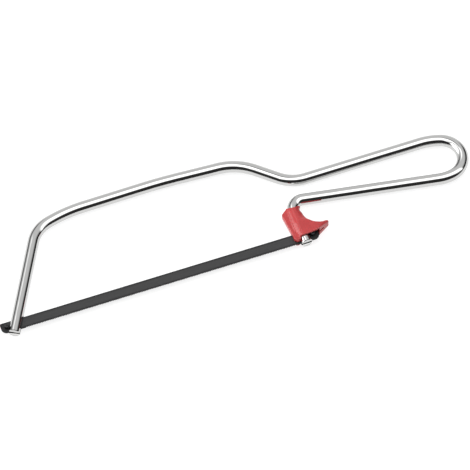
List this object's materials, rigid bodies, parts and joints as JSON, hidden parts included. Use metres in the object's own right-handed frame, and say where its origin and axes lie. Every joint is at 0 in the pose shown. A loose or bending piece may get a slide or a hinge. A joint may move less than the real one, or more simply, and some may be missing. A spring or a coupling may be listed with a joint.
{
  "type": "junior hacksaw",
  "caption": "Junior hacksaw: a bow and looped handle bent from one chromed rod, a pin-end blade in its slotted ends, and a plastic finger guard on the rear arm.",
  "frame": {"origin": "under the middle of the whole saw, on the surface that it lies on", "axes": "+X along the blade from its front end towards the handle loop, +Y from the teeth up to the bow, +Z square to the plane of the saw, up from the surface"},
  "size_m": [0.236, 0.0584, 0.0076],
  "materials": {
    "chromed_steel": "bright nickel-chrome plate",
    "blade_steel": "black oxide, satin",
    "pin_steel": "dark hardened steel",
    "red_plastic": "moulded, satin gloss"
  },
  "bodies": {
    "frame": {"bow_frame": "chromed_steel"},
    "blade": {"blade": "blade_steel", "front_blade_pin": "pin_steel", "rear_blade_pin": "pin_steel"},
    "guard": {"finger_guard": "red_plastic"}
  },
  "joints": [
    {"name": "blade_swing", "type": "hinge", "parent": "frame", "child": "blade", "pos_m": [-0.11528, -0.02405, 0.0038], "axis": [0, 0, 1], "range_deg": [-25, 0]},
    {"name": "guard_slide", "type": "slide", "parent": "frame", "child": "guard", "axis": [0.0297, -0.9996, 0], "range_m": [0, 0.0008]}
  ]
}
